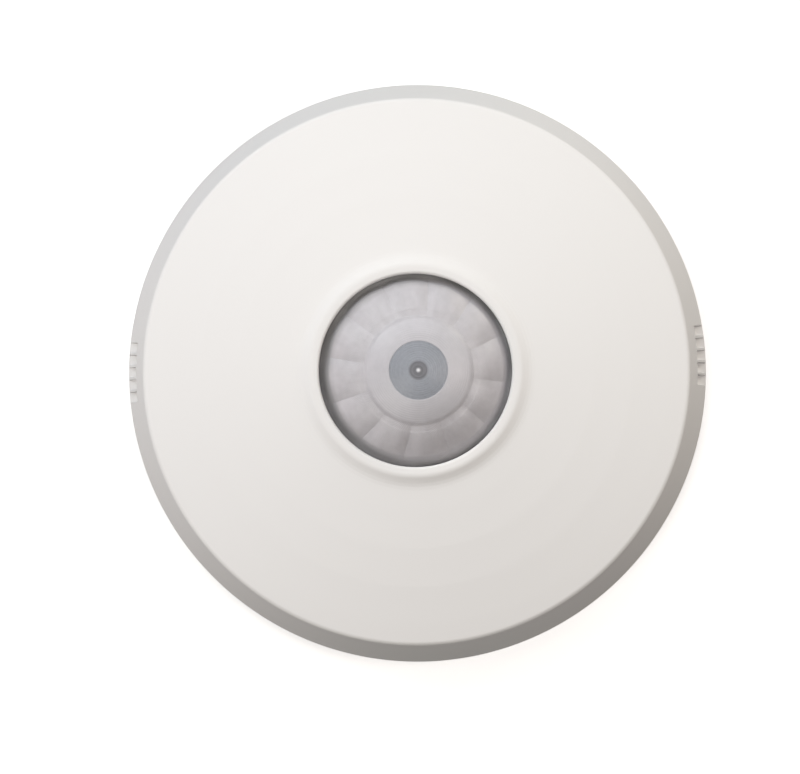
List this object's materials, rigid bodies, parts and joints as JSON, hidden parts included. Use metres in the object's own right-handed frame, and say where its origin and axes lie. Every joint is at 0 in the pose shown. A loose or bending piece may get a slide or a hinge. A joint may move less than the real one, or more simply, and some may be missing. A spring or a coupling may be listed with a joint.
{
  "type": "ceiling motion sensor",
  "caption": "Round low ceiling-mount passive infrared motion sensor: domed milky lens in a twist-off cover over a slotted base with its circuit board.",
  "frame": {"origin": "centre of the back face that goes against the ceiling", "axes": "+Z out of the back face towards the lens, +Y up the face, +X to its right; the two fixing slots lie on X"},
  "size_m": [0.115, 0.115, 0.0288],
  "materials": {
    "cover_plastic": "off-white moulded ABS, fine spark-eroded texture",
    "base_plastic": "off-white moulded ABS, semi-matt",
    "lens_plastic": "milky infrared-grade polyethylene, satin",
    "frame_plastic": "black moulded ABS, matt",
    "black_plastic": "black moulding compound, matt",
    "screw_steel": "zinc-plated steel",
    "board_laminate": "glass epoxy with green solder mask",
    "sensor_nickel": "nickel-plated steel, satin",
    "sensor_window": "coated silicon filter",
    "spacer_plastic": "natural nylon",
    "lead_tin": "tinned metal",
    "led_epoxy": "red tinted epoxy",
    "terminal_plastic": "green polyamide",
    "terminal_metal": "nickel-plated brass and zinc-plated steel",
    "plunger_plastic": "white acetal",
    "spring_steel": "spring steel wire",
    "capacitor_sleeve": "dark blue heat-shrunk sleeve, aluminium top",
    "varistor_coating": "blue epoxy coating",
    "resistor_ceramic": "black glazed face, tinned ends",
    "capacitor_ceramic": "tan ceramic, tinned ends",
    "trimmer_plastic": "blue moulded plastic",
    "rotor_plastic": "white moulded plastic",
    "switch_plastic": "red moulded plastic",
    "slider_plastic": "white moulded plastic"
  },
  "bodies": {
    "base": {"back_base": "base_plastic", "sensor_shroud": "black_plastic", "microcontroller": "black_plastic", "amplifier_chip": "black_plastic", "voltage_regulator": "black_plastic", "rectifier_diodes": "black_plastic", "tamper_switch_body": "black_plastic", "relay_case": "black_plastic", "board_screws": "screw_steel", "circuit_board": "board_laminate", "pyro_header": "sensor_nickel", "pyro_can": "sensor_nickel", "pyro_window": "sensor_window", "pyro_spacer": "spacer_plastic", "pyro_leads": "lead_tin", "led_leads": "lead_tin", "terminal_pins": "lead_tin", "relay_pins": "lead_tin", "tamper_switch_pins": "lead_tin", "capacitor_leads": "lead_tin", "microcontroller_leads": "lead_tin", "amplifier_leads": "lead_tin", "trimmer_pins": "lead_tin", "option_switch_pins": "lead_tin", "walk_test_led": "led_epoxy", "terminal_housing": "terminal_plastic", "terminal_clamps": "terminal_metal", "terminal_screws": "terminal_metal", "tamper_spring": "spring_steel", "electrolytic_capacitors": "capacitor_sleeve", "surge_varistor": "varistor_coating", "chip_resistors": "resistor_ceramic", "chip_capacitors": "capacitor_ceramic", "trimmer_body": "trimmer_plastic", "option_switch_body": "switch_plastic"},
    "lens_unit": {"fresnel_lens": "lens_plastic", "lens_frame": "frame_plastic"},
    "cover": {"front_cover": "cover_plastic", "lens_retainer": "frame_plastic", "retainer_screws": "screw_steel"},
    "tamper_plunger": {"tamper_plunger": "plunger_plastic"},
    "trimmer_rotor": {"trimmer_rotor": "rotor_plastic"},
    "option_slider_1": {"option_slider_1": "slider_plastic"},
    "option_slider_2": {"option_slider_2": "slider_plastic"},
    "option_slider_3": {"option_slider_3": "slider_plastic"}
  },
  "joints": [
    {"name": "cover_lift", "type": "slide", "parent": "base", "child": "lens_unit", "axis": [0, 0, 1], "range_m": [0, 0.055]},
    {"name": "cover_twist", "type": "hinge", "parent": "lens_unit", "child": "cover", "pos_m": [0, 0, 0], "axis": [0, 0, 1], "range_deg": [-14, 0]},
    {"name": "tamper_press", "type": "slide", "parent": "base", "child": "tamper_plunger", "axis": [0, 0, 1], "range_m": [-0.001, 0], "deforming": ["tamper_spring"]},
    {"name": "trimmer_turn", "type": "hinge", "parent": "base", "child": "trimmer_rotor", "pos_m": [-0.02, 0.0335, 0], "axis": [0, 0, 1], "range_deg": [-135, 135]},
    {"name": "option_slide_1", "type": "slide", "parent": "base", "child": "option_slider_1", "axis": [0, 1, 0], "range_m": [0, 0.0012]},
    {"name": "option_slide_2", "type": "slide", "parent": "base", "child": "option_slider_2", "axis": [0, 1, 0], "range_m": [0, 0.0012]},
    {"name": "option_slide_3", "type": "slide", "parent": "base", "child": "option_slider_3", "axis": [0, 1, 0], "range_m": [0, 0.0012]}
  ],
  "couplings": [
    {"joint": "tamper_press", "follows": "cover_twist", "m_per_rad": 0.0040926}
  ]
}
